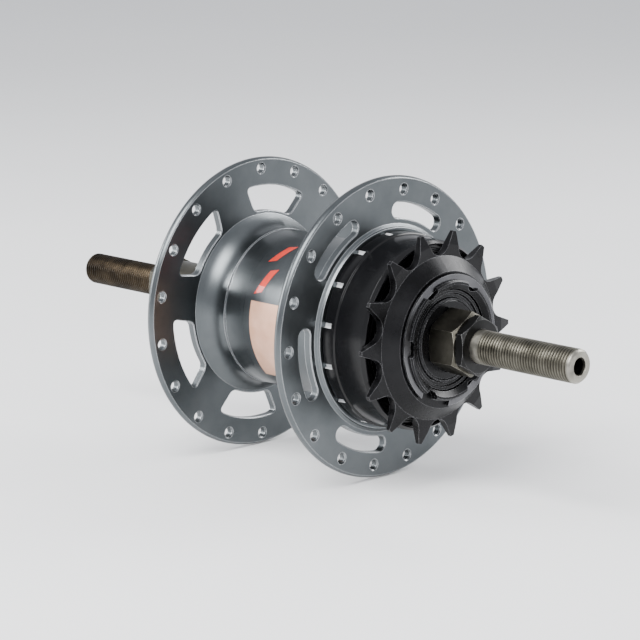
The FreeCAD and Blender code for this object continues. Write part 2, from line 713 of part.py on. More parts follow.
# ---- pawls, all drawn at the top of the hub and then turned to their places ----

def pawl_outline(pivot_rho, nose_rho):
    """Corners of a pawl's arm in (y, z), from the boss round the pivot to the nose."""
    return [
        (0.0, pivot_rho + PAWL_BOSS_R - 0.1), (PAWL_REACH - 0.9, nose_rho + 0.08),
        (PAWL_REACH, nose_rho - 0.25),
        (PAWL_REACH - 0.1, nose_rho - 1.5), (0.4, pivot_rho - PAWL_BOSS_R + 0.15),
    ]


def make_pawl(span, pivot_rho, nose_rho, turn):
    x0 = span[0] + 0.3
    x1 = span[1] - 0.3
    body = prism(pawl_outline(pivot_rho, nose_rho), x0, x1)
    body = body.fuse(rod(x0, x1, PAWL_BOSS_R, z=pivot_rho))
    body = body.cut(rod(x0 - 1, x1 + 1, PAWL_PIN_R + RUN, z=pivot_rho)).removeSplitter()
    return turned(body, turn)


def pawl_pockets(span, pivot_rho, rim_r):
    """Room that each pawl needs to fold inwards."""
    low = pivot_rho - PAWL_BOSS_R - 0.5
    pocket = block(span[0], span[1] + 1, 0, PAWL_REACH + 0.9, low, rim_r + 4)
    pocket = pocket.fuse(rod(span[0], span[1] + 1, PAWL_BOSS_R + 0.3, z=pivot_rho))
    pocket = pocket.fuse(block(span[0], span[1] + 1, -PAWL_BOSS_R - 0.3, 0.1, pivot_rho, rim_r + 4))
    pin_hole = rod(span[0] - 1.6, span[1] + 1, PAWL_PIN_R + SEAT, z=pivot_rho)
    return around(pocket.fuse(pin_hole), PAWL_COUNT)


def make_pawl_pins(span, pivot_rho):
    pin = rod(span[0] - 1.4, span[1], PAWL_PIN_R, z=pivot_rho)
    return Part.makeCompound(around(pin, PAWL_COUNT))


def make_pawl_springs(span, pivot_rho):
    """Flat leaf under each pawl, standing on the floor of its pocket."""
    low = pivot_rho - PAWL_BOSS_R - 0.5
    leaf = block(span[0] + 0.8, span[1] - 0.8, 2.6, PAWL_REACH + 0.7, low, low + 0.3)
    return Part.makeCompound(around(leaf, PAWL_COUNT))


# ---- clutch and shift rod ----

def make_clutch():
    half = CLUTCH_ARM_WIDTH / 2
    body = ring(CLUTCH_X[0], CLUTCH_X[1], CLUTCH_BORE_R, CLUTCH_HUB_R)
    arm = block(CLUTCH_X[0], CLUTCH_X[1], -CLUTCH_ARM_R, -CLUTCH_HUB_R + 0.6, -half, half)
    for shape in around(arm, CLUTCH_ARMS):
        body = body.fuse(shape)
    return body.removeSplitter()


def make_shift_key():
    half = KEY_WIDTH / 2
    return block(KEY_X[0], KEY_X[1], -KEY_HALF, KEY_HALF, -half, half)


def make_shift_rod():
    return lathe([
        (KEY_X[1], 0), (KEY_X[1], ROD_R), (ROD_END - 0.6, ROD_R), (ROD_END, ROD_R - 0.6), (ROD_END, 0),
    ])


PIECES = {
    "axle": make_axle(),
    "sun_gear": outer_gear(SUN_TEETH, SUN_X, 0.0, NUT_BORE_R),
    "left_cone": make_left_cone(),
    "left_lock_washer": ring(LEFT_WASHER[0], LEFT_WASHER[1], NUT_BORE_R, 9.0),
    "left_spacer": ring(LEFT_NUT_INNER, LEFT_WASHER[0], NUT_BORE_R, LEFT_SPACER_R),
    "left_lock_nut": hexagon(-LOCK_FACE, LEFT_NUT_INNER, LEFT_NUT_AF, NUT_BORE_R),
    "right_cone": make_right_cone(),
    "right_dust_cap": make_right_dust_cap(),
    "right_cone_nut": hexagon(CONE_NUT[0], CONE_NUT[1], CONE_NUT_AF, NUT_BORE_R),
    "right_lock_nut": hexagon(CONE_NUT[1], LOCK_FACE, LOCK_NUT_AF, NUT_BORE_R),
    "clutch_spring": make_clutch_spring(),
    "hub_shell": make_hub_shell(),
    "shell_label": make_shell_label(),
    "right_ball_cup": make_right_ball_cup(),
    "left_ball_cup": make_left_ball_cup(),
    "left_dust_cap": make_left_dust_cap(),
    "left_balls": balls(LEFT_BEARING),
    "left_ball_cage": ball_cage(LEFT_BEARING),
    "outer_balls": balls(OUTER_BEARING),
    "outer_ball_cage": ball_cage(OUTER_BEARING),
    "inner_balls": balls(INNER_BEARING),
    "inner_ball_cage": ball_cage(INNER_BEARING),
    "driver": make_driver(),
    "drum_dust_cap": make_drum_dust_cap(),
    "sprocket_spacer": make_sprocket_spacer(),
    "sprocket": make_sprocket(),
    "snap_ring": make_snap_ring(),
    "ring_gear": make_ring_gear(),
    "ring_pawl_pins": make_pawl_pins(RIGHT_PAWL_X, RIGHT_PAWL_PIVOT),
    "ring_pawl_springs": make_pawl_springs(RIGHT_PAWL_X, RIGHT_PAWL_PIVOT),
    "planet_cage": make_planet_cage(),
    "planet_pins": make_planet_pins(),
    "cage_pawl_pins": make_pawl_pins(LEFT_PAWL_X, LEFT_PAWL_PIVOT),
    "cage_pawl_springs": make_pawl_springs(LEFT_PAWL_X, LEFT_PAWL_PIVOT),
    "clutch": make_clutch(),
    "shift_rod": make_shift_rod(),
    "shift_key": make_shift_key(),
}
for k in range(PLANETS):
    PIECES[f"planet_gear_{k + 1}"] = make_planet(k)
for k in range(PAWL_COUNT):
    turn = 360.0 * k / PAWL_COUNT
    PIECES[f"ring_pawl_{k + 1}"] = make_pawl(RIGHT_PAWL_X, RIGHT_PAWL_PIVOT, RIGHT_PAWL_NOSE, turn)
    PIECES[f"cage_pawl_{k + 1}"] = make_pawl(LEFT_PAWL_X, LEFT_PAWL_PIVOT, LEFT_PAWL_NOSE, turn)

os.makedirs("parts", exist_ok=True)
for name, shape in PIECES.items():
    shape.exportStep(f"parts/{name}.step")
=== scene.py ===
import json
import math

import bmesh
import bpy
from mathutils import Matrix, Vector


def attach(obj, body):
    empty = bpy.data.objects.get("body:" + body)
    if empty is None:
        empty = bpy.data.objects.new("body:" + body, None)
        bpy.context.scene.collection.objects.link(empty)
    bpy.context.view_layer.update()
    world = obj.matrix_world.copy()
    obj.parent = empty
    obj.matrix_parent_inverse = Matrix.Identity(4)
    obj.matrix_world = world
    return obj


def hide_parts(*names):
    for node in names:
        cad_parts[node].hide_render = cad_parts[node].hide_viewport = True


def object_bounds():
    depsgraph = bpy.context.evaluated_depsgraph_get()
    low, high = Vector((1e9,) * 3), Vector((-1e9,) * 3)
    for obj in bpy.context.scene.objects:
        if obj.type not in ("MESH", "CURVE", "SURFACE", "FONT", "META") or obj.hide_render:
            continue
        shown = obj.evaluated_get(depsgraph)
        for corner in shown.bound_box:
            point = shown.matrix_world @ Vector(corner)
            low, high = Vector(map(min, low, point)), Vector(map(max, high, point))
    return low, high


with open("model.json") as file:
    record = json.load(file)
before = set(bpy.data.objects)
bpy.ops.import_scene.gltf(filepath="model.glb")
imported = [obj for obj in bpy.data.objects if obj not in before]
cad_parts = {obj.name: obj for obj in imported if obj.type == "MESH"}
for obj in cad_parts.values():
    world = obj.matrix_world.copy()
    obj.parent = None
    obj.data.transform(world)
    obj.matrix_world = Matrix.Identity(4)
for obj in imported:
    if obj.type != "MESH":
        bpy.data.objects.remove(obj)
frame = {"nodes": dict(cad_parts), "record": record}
cad_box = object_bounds()

MM = 0.001

# ---- sizes, in millimetres, along the axle (x) and out from it (r) ----
AXLE_R = 5.0
AXLE_END = 104.25
CORE_R = 4.8
CORE_END = 67.6
COLLAR_END = 70.2
THREAD_PITCH = 1.0
THREAD_DEPTH = 0.26
THREAD_RUN_OUT = 1.2
THREAD_VALLEY = 0.42  # half the width of a valley, as a share of the pitch
TIP_BEVEL = 0.8
TIP_SLOPE = 0.9
CREST_DEPTH = 0.02
COLLAR_BLEND = (-0.6, 0.4)  # where the collar's lighter colour (plain metal partly, painted highlight partly) fades, from COLLAR_END
TIP_BLEND = (-1.3, -0.7)  # where the tip's lighter colour (plain metal partly, painted highlight partly) fades in, from AXLE_END
ROD_BORE_R = 2.5
ROD_BORE_START = 11.0
ROD_BORE_MOUTH = 0.35

BARREL_R = 24.0
SHELL_BORE_R = 22.2
FLANGE_R = 45.5
FLANGE_ROUND = 0.7
LEFT_FLANGE = (-26.45, -23.75)
RIGHT_FLANGE = (28.3, 31.0)
ROOT_WIDTH = 0.6  # of the small slope outside each flange
LEFT_ROOT_RISE = (0.2, 1.0)
RIGHT_ROOT_RISE = 0.8
LEFT_BOSS = {"end": -30.5, "r": 24.0, "bevel": 0.5}
RIGHT_BOSS = {"end": 32.2, "r": 30.5, "draft": 0.3}
FLARE = {"r": 28.0, "middle": (-20.8, 25.2), "end": -15.0}
TURNED_LINE = {"width": 0.5, "step": 0.2}
BARREL_FILLET = 1.6
BARREL_FILLET_MIDDLE = 0.45
CUP_START = 28.5
CUP_SEAT_R = 26.3

SPOKE_CIRCLE_R = {"right": 41.5, "left": 42.1}
SPOKE_HOLE_R = 1.45
SPOKES_PER_FLANGE = 18
HOLE_PHASE = {"right": -1.5, "left": 10.0}
HOLE_FLARE = 0.35
SLOT = {"radius": 35.2, "width": 4.8, "half_angle": 14.0, "phase": -10.0}
WINDOW = {
    "outer_r": 36.8, "outer_half": 19.5, "inner_r": 28.8, "inner_half": 15.5, "corner": 2.0, "phase": 100.0,
}
WINDOWS = 6
EDGE_FLARE = 0.22

LABEL_X = (-4.0, 9.0)
LABEL_ANGLES = (-45.0, 16.0)
RED_MARK_ANGLES = ((21.0, 42.0), (47.0, 66.0))
RED_MARK = {"x": -3.6, "width": 3.0, "slant": 3.2, "skew": 2.0}
FILM = 0.05
FILM_GAP = 0.01

DRUM_R = 29.4
DRUM_BEVEL = 0.5
DRUM_STEP = {"x": 36.6, "width": 0.3, "top": 0.2, "foot": 0.6}  # top and foot lie that far inside DRUM_R
DRUM_FRONT = {"x": 46.6, "r": 28.2, "end": 47.6, "end_r": 27.4}
DRUM_MOUTH = {"r": 26.9, "depth": 4.4, "slope": 0.4}
DRUM_INSIDE_R = 27.1
RACE_X = (34.0, 38.2)
RACE_R = 25.4
RACE_LIP = (33.4, 23.8)
CUP_BORE_R = 23.4
CUP_FIT = 0.05
DRUM_NOTCHES = 15
DRUM_NOTCH = {"length": 3.2, "width": 1.5, "depth": 1.1, "phase": 10.7, "overcut": 1.0}

EDGE_WIDTH = {"sprocket": 0.22, "right_cone_nut": 0.25, "right_lock_nut": 0.2, "left_lock_nut": 0.25}
USUAL_EDGE_WIDTH = 0.12
EDGE_ANGLE = math.radians(34)
CUT_EDGE_ANGLE = math.radians(32)
THREAD_EDGE_ANGLE = math.radians(50)
REPLACED = {"hub_shell", "shell_label", "right_ball_cup", "axle"}

# ---- how finely the round pieces are built ----
TURNED_SEGMENTS = 240
AXLE_SEGMENTS = 64
STEPS_PER_PITCH = 8
HOLE_SIDES = 28
SLOT_STEPS = 16
SLOT_END_STEPS = 10
WINDOW_STEPS = 8
WINDOW_CORNER_STEPS = 6
PATCH_STEPS = (6, 24)
CORNER_STEPS = 3
CORNER_SHARE = 0.42  # of an outline's side, at most, that a rounded corner takes up
GENTLE_CORNER = math.radians(155)

# The bright edge is painted highlight partly and polished metal partly.
EDGE_SHINE = 0.0004  # metres of bright edge on the shell


# ---- mesh building ----

def at(x, r, degrees):
    """Point in metres at x and radius r in millimetres; angles start at -Y and grow towards +Z."""
    a = math.radians(degrees)
    return Vector((x * MM, -r * MM * math.cos(a), r * MM * math.sin(a)))


def piece(name, bm, materials):
    mesh = bpy.data.meshes.new(name)
    bm.normal_update()
    bm.to_mesh(mesh)
    bm.free()
    obj = bpy.data.objects.new(name, mesh)
    bpy.context.scene.collection.objects.link(obj)
    for material in materials:
        mesh.materials.append(material)
    return obj


def smooth(obj, angle=CUT_EDGE_ANGLE):
    """Smooth shading that breaks at sharp edges, with flat faces kept flat next to small roundings."""
    for polygon in obj.data.polygons:
        polygon.use_smooth = True
    obj.data.set_sharp_from_angle(angle=angle)
    weighted = obj.modifiers.new("flat_faces", "WEIGHTED_NORMAL")
    weighted.keep_sharp = True
    return obj


def arc(start, middle, end, steps):
    """Points of the circle through three (x, r) points, without its first point."""
    (ax, ay), (bx, by), (cx, cy) = start, middle, end
    d = 2 * (ax * (by - cy) + bx * (cy - ay) + cx * (ay - by))
    ux = ((ax**2 + ay**2) * (by - cy) + (bx**2 + by**2) * (cy - ay) + (cx**2 + cy**2) * (ay - by)) / d
    uy = ((ax**2 + ay**2) * (cx - bx) + (bx**2 + by**2) * (ax - cx) + (cx**2 + cy**2) * (bx - ax)) / d
    radius = math.hypot(ax - ux, ay - uy)
    first = math.atan2(ay - uy, ax - ux)
    mid = math.atan2(by - uy, bx - ux)
    last = math.atan2(cy - uy, cx - ux)
    turn = (last - first) % (2 * math.pi)
    if (mid - first) % (2 * math.pi) > turn:
        turn -= 2 * math.pi
    angles = [first + turn * k / steps for k in range(1, steps + 1)]
    return [(ux + radius * math.cos(a), uy + radius * math.sin(a)) for a in angles]


def rounded(profile, radius):
    """Profile with each corner turned into a short curve; gentle corners stay as they are."""
    out = []
    count = len(profile)
    for i, (x, r) in enumerate(profile):
        here = Vector((x, r))
        before = Vector(profile[i - 1]) - here
        after = Vector(profile[(i + 1) % count]) - here
        if r < 1e-6 or before.length < 1e-6 or after.length < 1e-6:
            out.append((x, r))
            continue
        corner = before.angle(after)
        if corner > GENTLE_CORNER:
            out.append((x, r))
            continue
        room = CORNER_SHARE * min(before.length, after.length)
        reach = min(radius / math.tan(corner / 2), room)
        a = here + before.normalized() * reach
        b = here + after.normalized() * reach
        for k in range(CORNER_STEPS + 1):
            u = k / CORNER_STEPS
            p = a * (1 - u) ** 2 + here * 2 * u * (1 - u) + b * u**2
            out.append((p.x, p.y))
    return out


def lathe(name, profile, materials, segments, radius):
    """Closed solid turned from an (x, r) outline, with its corners rounded."""
    points = rounded(profile, radius)
    bm = bmesh.new()
    rings = []
    for x, r in points:
        rings.append([bm.verts.new(at(x, r, 360 * k / segments)) for k in range(segments)])
    for i in range(len(rings)):
        one = rings[i]
        two = rings[(i + 1) % len(rings)]
        for k in range(segments):
            n = (k + 1) % segments
            bm.faces.new((one[k], one[n], two[n], two[k]))
    bmesh.ops.remove_doubles(bm, verts=bm.verts, dist=1e-8)
    bmesh.ops.dissolve_degenerate(bm, edges=bm.edges, dist=1e-8)
    bmesh.ops.recalc_face_normals(bm, faces=bm.faces)
    return piece(name, bm, materials)


def flared_cutter(bm, outline, x0, x1, flare):
    """Adds a cutter whose outline(offset) opens out by flare at both faces, to break the cut's edges."""
    stations = [(x0 - 1, flare), (x0, flare), (x0 + flare, 0)]
    stations += [(x1 - flare, 0), (x1, flare), (x1 + 1, flare)]
    rings = []
    for x, offset in stations:
        rings.append([bm.verts.new(at(x, r, degrees)) for r, degrees in outline(offset)])
    for one, two in zip(rings, rings[1:]):
        for k in range(len(one)):
            n = (k + 1) % len(one)
            bm.faces.new((one[k], one[n], two[n], two[k]))
    bm.faces.new(list(reversed(rings[0])))
    bm.faces.new(rings[-1])


def carve(obj, bm, materials):
    """Cuts a body of cutters, all wound the same way, out of obj for good."""
    if bm.calc_volume(signed=True) < 0:
        bmesh.ops.reverse_faces(bm, faces=bm.faces)
    cutter = piece("cutter", bm, materials)
    cut = obj.modifiers.new("cut", "BOOLEAN")
    cut.operation = "DIFFERENCE"
    cut.solver = "EXACT"
    cut.object = cutter
    cut.material_mode = "TRANSFER"
    graph = bpy.context.evaluated_depsgraph_get()
    mesh = bpy.data.meshes.new_from_object(obj.evaluated_get(graph))
    obj.modifiers.clear()
    tidy = bmesh.new()
    tidy.from_mesh(mesh)
    bmesh.ops.remove_doubles(tidy, verts=tidy.verts, dist=1e-7)
    bmesh.ops.dissolve_degenerate(tidy, edges=tidy.edges, dist=1e-7)
    tidy.to_mesh(mesh)
    tidy.free()
    obj.data = mesh
    bpy.data.objects.remove(cutter)


def hole_outline(radius, degrees, hole_r):
    """Circle of radius hole_r round a point of the spoke circle, as (r, degrees) pairs."""
    def outline(offset):
        points = []
        for k in range(HOLE_SIDES):
            a = 2 * math.pi * k / HOLE_SIDES
            u = radius + (hole_r + offset) * math.cos(a)
            v = (hole_r + offset) * math.sin(a)
            points.append((math.hypot(u, v), degrees + math.degrees(math.atan2(v, u))))
        return points
    return outline


def slot_outline(phase):
    """Curved slot with round ends."""
    def outline(offset):
        half_width = SLOT["width"] / 2 + offset
        mid_r = SLOT["radius"]
        span = SLOT["half_angle"]
        turns = [2 * span * k / SLOT_STEPS for k in range(SLOT_STEPS + 1)]
        points = [(mid_r + half_width, phase - span + turn) for turn in turns]
        points += end_cap(mid_r, phase + span, half_width, 1)
        points += [(mid_r - half_width, phase + span - turn) for turn in turns]
        points += end_cap(mid_r, phase - span, half_width, -1)
        return points
    return outline


def end_cap(mid_r, degrees, half_width, side):
    """Half circle at one end of a slot, from its outer to its inner edge for side 1."""
    points = []
    for k in range(1, SLOT_END_STEPS):
        share = k / SLOT_END_STEPS
        a = math.pi * share if side > 0 else math.pi * (1 + share)
        u = mid_r + half_width * math.cos(a)
        v = half_width * math.sin(a)
        points.append((math.hypot(u, v), degrees + math.degrees(math.atan2(v, u))))
    return points


def window_outline(phase):
    """Rounded trapezoid between two circles."""
    def outline(offset):
        outer_r = WINDOW["outer_r"] + offset
        inner_r = WINDOW["inner_r"] - offset
        outer_half = WINDOW["outer_half"] + math.degrees(offset / outer_r)
        inner_half = WINDOW["inner_half"] + math.degrees(offset / inner_r)
        steps = WINDOW_STEPS
        points = []
        for k in range(steps + 1):
            points.append(flat(outer_r, phase - outer_half + 2 * outer_half * k / steps))
        for k in range(steps + 1):
            points.append(flat(inner_r, phase + inner_half - 2 * inner_half * k / steps))
        corners = (0, steps, steps + 1, 2 * steps + 1)
        too_near = (steps + 2, 2 * steps)
        points = soften(points, corners, too_near, WINDOW["corner"] + offset)
        return [(math.hypot(u, v), math.degrees(math.atan2(v, u))) for u, v in points]
    return outline


def flat(r, degrees):
    """Point at radius r, as plane coordinates."""
    a = math.radians(degrees)
    return (r * math.cos(a), r * math.sin(a))


def soften(points, corners, dropped, radius):
    """Replaces the numbered corners of a polygon by short curves and leaves out the dropped points."""
    out = []
    count = len(points)
    for i, p in enumerate(points):
        if i in dropped:
            continue
        if i not in corners:
            out.append(p)
            continue
        here = Vector(p)
        before = (Vector(points[i - 1]) - here).normalized()
        after = (Vector(points[(i + 1) % count]) - here).normalized()
        a = here + before * radius
        b = here + after * radius
        for k in range(WINDOW_CORNER_STEPS + 1):
            u = k / WINDOW_CORNER_STEPS
            q = a * (1 - u) ** 2 + here * 2 * u * (1 - u) + b * u**2
            out.append((q.x, q.y))
    return out


def inside(corners, index, u, v):
    """Value at shares u and v of the way across and along four corners."""
    low = (1 - u) * corners[0][index] + u * corners[1][index]
    high = (1 - u) * corners[3][index] + u * corners[2][index]
    return (1 - v) * low + v * high


def barrel_patch(name, corners, material):
    """Thin film on the barrel; corners are (x, degrees) at low-low, high-low, high-high and low-high."""
    across, along = PATCH_STEPS
    bottom_r = BARREL_R + FILM_GAP
    bm = bmesh.new()
    layers = []
    for r in (bottom_r, bottom_r + FILM):
        grid = []
        for j in range(along + 1):
            shares = [(i / across, j / along) for i in range(across + 1)]
            row = [at(inside(corners, 0, u, v), r, inside(corners, 1, u, v)) for u, v in shares]
            grid.append([bm.verts.new(place) for place in row])
        layers.append(grid)
    for grid in layers:
        for j in range(along):
            for i in range(across):
                bm.faces.new((grid[j][i], grid[j][i + 1], grid[j + 1][i + 1], grid[j + 1][i]))
    border = [(0, i) for i in range(across)] + [(j, across) for j in range(along)]
    border += [(along, i) for i in range(across, 0, -1)] + [(j, 0) for j in range(along, 0, -1)]
    bottom, top = layers
    for k, (j, i) in enumerate(border):
        next_j, next_i = border[(k + 1) % len(border)]
        bm.faces.new((bottom[j][i], bottom[next_j][next_i], top[next_j][next_i], top[j][i]))
    bmesh.ops.recalc_face_normals(bm, faces=bm.faces)
    return smooth(piece(name, bm, [material]))


def ring(bm, x, radii):
    """Ring of points round the axle at x, with one radius for each."""
    count = len(radii)
    return [bm.verts.new(at(x, r, 360 * k / count)) for k, r in enumerate(radii)]


def thread_radius(x, x0, x1, turn):
    """Radius of the thread at x, a share turn of the way round the axle."""
    from_collar = abs(x - x0) - (COLLAR_END - CORE_END)
    from_tip = abs(x1 - x)
    edge = max(0.0, min(from_collar, from_tip))
    depth = THREAD_DEPTH * min(1.0, edge / THREAD_RUN_OUT)
    cone = max(0.0, TIP_BEVEL - from_tip) * TIP_SLOPE
    phase = (x / THREAD_PITCH + turn) % 1.0
    valley = max(0.0, 1 - abs(phase - 0.5) / THREAD_VALLEY)
    return AXLE_R - cone - depth * valley ** 0.8


def thread(name, x0, x1, bore_r=0.0):
    """Threaded axle end between x0 and x1, with a plain collar at x0 and a bevel at x1."""
    bm = bmesh.new()
    count = int(abs(x1 - x0) / THREAD_PITCH * STEPS_PER_PITCH)
    turns = [k / AXLE_SEGMENTS for k in range(AXLE_SEGMENTS)]
    rings = []
    for i in range(count + 1):
        x = x0 + (x1 - x0) * i / count
        rings.append(ring(bm, x, [thread_radius(x, x0, x1, turn) for turn in turns]))
    if bore_r:
        mouth_end = x1 - math.copysign(ROD_BORE_MOUTH, x1 - x0)
        for x, r in ((x1, bore_r + ROD_BORE_MOUTH), (mouth_end, bore_r), (x0, bore_r)):
            rings.append(ring(bm, x, [r] * AXLE_SEGMENTS))
        rings.append(rings[0])
    for one, two in zip(rings, rings[1:]):
        for k in range(AXLE_SEGMENTS):
            n = (k + 1) % AXLE_SEGMENTS
            bm.faces.new((one[k], one[n], two[n], two[k]))
    if not bore_r:
        bm.faces.new(rings[0])
        bm.faces.new(rings[-1])
    bmesh.ops.recalc_face_normals(bm, faces=bm.faces)
    return smooth(piece(name, bm, [AXLE_STEEL]), THREAD_EDGE_ANGLE)


# ---- materials ----

class Nodes:
    """Small helper for wiring a material's nodes."""

    def __init__(self, name):
        self.material = bpy.data.materials.new(name)
        self.material.use_nodes = True
        self.tree = self.material.node_tree
        self.tree.nodes.clear()
        self.shader = self.add("ShaderNodeBsdfPrincipled")
        out = self.add("ShaderNodeOutputMaterial")
        self.link(self.shader, "BSDF", out, "Surface")
        self.place = self.add("ShaderNodeTexCoord")

    def add(self, kind, **values):
        node = self.tree.nodes.new(kind)
        for key, value in values.items():
            setattr(node, key, value)
        return node

    def link(self, source, out_name, target, in_name):
        self.tree.links.new(source.outputs[out_name], target.inputs[in_name])

    def math(self, operation, a, b=None):
        node = self.add("ShaderNodeMath", operation=operation)
        for index, value in enumerate((a, b)):
            if value is None:
                continue
            if isinstance(value, (int, float)):
                node.inputs[index].default_value = value
            else:
                self.tree.links.new(value, node.inputs[index])
        return node.outputs[0]

    def around_axle(self):
        """Sockets for the place along the axle and the distance from it."""
        split = self.add("ShaderNodeSeparateXYZ")
        self.link(self.place, "Object", split, "Vector")
        y, z = split.outputs["Y"], split.outputs["Z"]
        squares = self.math("ADD", self.math("MULTIPLY", y, y), self.math("MULTIPLY", z, z))
        return split.outputs["X"], self.math("SQRT", squares)

    def noise(self, scale, detail, vector=None):
        node = self.add("ShaderNodeTexNoise")
        node.inputs["Scale"].default_value = scale
        node.inputs["Detail"].default_value = detail
        node.inputs["Roughness"].default_value = 0.55
        if vector is None:
            self.link(self.place, "Object", node, "Vector")
        else:
            self.tree.links.new(vector, node.inputs["Vector"])
        return node.outputs["Fac"]

    def turning_marks(self, per_metre):
        """Noise that runs in rings round the axle, as a lathe tool leaves."""
        x, radius = self.around_axle()
        join = self.add("ShaderNodeCombineXYZ")
        self.tree.links.new(x, join.inputs["X"])
        self.tree.links.new(radius, join.inputs["Y"])
        return self.noise(per_metre, 3.0, join.outputs["Vector"])

    def ramp(self, value, low, high):
        """Colour that goes from low to high round the middle of value's range."""
        node = self.add("ShaderNodeValToRGB")
        node.color_ramp.elements[0].position = 0.35
        node.color_ramp.elements[0].color = (*low, 1)
        node.color_ramp.elements[1].position = 0.65
        node.color_ramp.elements[1].color = (*high, 1)
        self.tree.links.new(value, node.inputs["Fac"])
        return node.outputs["Color"]

    def span(self, value, low, high, start=0.3, end=0.7):
        """Number between low and high as value goes from start to end."""
        node = self.add("ShaderNodeMapRange")
        node.inputs["From Min"].default_value = start
        node.inputs["From Max"].default_value = end
        node.inputs["To Min"].default_value = low
        node.inputs["To Max"].default_value = high
        self.tree.links.new(value, node.inputs["Value"])
        return node.outputs["Result"]

    def mix(self, factor, a, b):
        node = self.add("ShaderNodeMix", data_type="RGBA")
        self.tree.links.new(factor, node.inputs["Factor"])
        for socket, value in ((node.inputs[6], a), (node.inputs[7], b)):
            if isinstance(value, tuple):
                socket.default_value = (*value, 1)
            else:
                self.tree.links.new(value, socket)
        return node.outputs[2]

    def shared(self, share, a, b):
        """The given share of a and the rest of b."""
        return self.math("ADD", self.math("MULTIPLY", a, share), self.math("MULTIPLY", b, 1 - share))

    def edges(self, width):
        """1 where the surface turns within width metres, 0 on flat and gently curved faces."""
        bevel = self.add("ShaderNodeBevel", samples=4)
        bevel.inputs["Radius"].default_value = width
        geometry = self.add("ShaderNodeNewGeometry")
        dot = self.add("ShaderNodeVectorMath", operation="DOT_PRODUCT")
        self.link(bevel, "Normal", dot, 0)
        self.link(geometry, "Normal", dot, 1)
        return self.span(dot.outputs["Value"], 1.0, 0.0, 0.90, 0.995)

    def bump(self, value, strength, distance):
        node = self.add("ShaderNodeBump")
        node.inputs["Strength"].default_value = strength
        node.inputs["Distance"].default_value = distance
        self.tree.links.new(value, node.inputs["Height"])
        self.link(node, "Normal", self.shader, "Normal")

    def set(self, **values):
        for key, value in values.items():
            name = key.replace("_", " ")
            socket = self.shader.inputs[name]
            if hasattr(value, "is_linked"):
                self.tree.links.new(value, socket)
            elif isinstance(value, tuple):
                socket.default_value = (*value, 1)
            else:
                socket.default_value = value


def turned_metal(name, dark, light, rough, depth=0.000012, bare_and_shine=None):
    """Metal with lathe marks round the axle, cloudy colour, uneven gloss and, if given, light edges:
    polished metal partly, painted highlight partly.
    """
    n = Nodes(name)
    rings = n.turning_marks(2600)
    cloud = n.noise(45, 5.0)
    color = n.ramp(cloud, dark, light)
    # Light edges: polished metal partly, painted highlight partly.
    if bare_and_shine:
        color = n.mix(n.edges(EDGE_SHINE), color, bare_and_shine)
    n.set(Base_Color=color, Metallic=1.0)
    n.set(Roughness=n.span(n.shared(0.6, rings, cloud), *rough))
    n.bump(rings, 0.35, depth)
    return n.material


def worn_metal_with_painted_shine(name, dark, light, bare_and_shine, rough, rub_and_shine_width=0.0002, metallic=1.0, shine=0.5):
    """Dark or plated metal whose edges are lighter, partly worn bright and partly painted highlight, with
    small scratches and grime.
    """
    n = Nodes(name)
    cloud = n.noise(70, 6.0)
    speck = n.noise(900, 3.0)
    base = n.ramp(cloud, dark, light)
    # Light edges: worn metal partly, painted edge highlight partly.
    rubbed_and_shine = n.math("MULTIPLY", n.edges(rub_and_shine_width), n.span(n.noise(400, 4.0), 0.25, 1.0))
    n.set(Base_Color=n.mix(rubbed_and_shine, base, bare_and_shine), Metallic=metallic)
    n.set(Roughness=n.span(n.shared(0.5, cloud, speck), *rough))
    n.shader.inputs["Specular IOR Level"].default_value = shine
    n.bump(speck, 0.25, 0.00002)
    return n.material


def threaded_steel(name):
    """Axle steel: dark thread roots, lighter crests in patches, lighter collar and tip (plain metal partly,
    painted highlight partly), darker and browner left end.
    """
    n = Nodes(name)
    x, radius = n.around_axle()
    crest = n.span(radius, 0.0, 1.0, (AXLE_R - THREAD_DEPTH) * MM, (AXLE_R - CREST_DEPTH) * MM)
    cloud = n.noise(160, 6.0)
    root = n.ramp(cloud, (0.012, 0.011, 0.008), (0.040, 0.036, 0.028))
    top = n.ramp(cloud, (0.060, 0.056, 0.044), (0.155, 0.147, 0.120))
    thread_color = n.mix(crest, root, top)
    reach = n.math("ABSOLUTE", x)
    collar = n.span(reach, 1.0, 0.0, *[(COLLAR_END + blend) * MM for blend in COLLAR_BLEND])
    tip = n.span(reach, 0.0, 1.0, *[(AXLE_END + blend) * MM for blend in TIP_BLEND])
    # Collar and tip lighter: plain metal partly, painted highlight partly.
    bare_and_shine = n.math("MULTIPLY", n.math("MAXIMUM", collar, tip), n.span(cloud, 0.45, 0.95))
    thread_collar_tip_color = n.mix(bare_and_shine, thread_color, (0.36, 0.345, 0.30))
    left_end = n.span(x, 1.0, 0.0, -CORE_END * MM, 0.0)
    darker_brown = n.ramp(cloud, (0.012, 0.009, 0.006), (0.040, 0.030, 0.019))
    n.set(Base_Color=n.mix(left_end, thread_collar_tip_color, darker_brown), Metallic=1.0)
    n.set(Roughness=n.span(n.noise(500, 4.0), 0.30, 0.52))
    n.bump(n.noise(1500, 3.0), 0.3, 0.00003)
    return n.material


def film(name, dark, light):
    """Smooth, slightly metallic surface under a clear skin."""
    n = Nodes(name)
    n.set(Base_Color=n.ramp(n.noise(120, 3.0), dark, light), Metallic=0.35)
    n.set(Roughness=n.span(n.noise(900, 2.0), 0.28, 0.4))
    n.shader.inputs["Coat Weight"].default_value = 0.5
    return n.material


def floor_paint(name):
    """Pale paint with faint clouds."""
    n = Nodes(name)
    n.set(Base_Color=n.ramp(n.noise(2.0, 2.0), (0.87, 0.872, 0.875), (0.89, 0.892, 0.895)))
    n.set(Roughness=n.span(n.noise(8.0, 2.0), 0.55, 0.65))
    return n.material
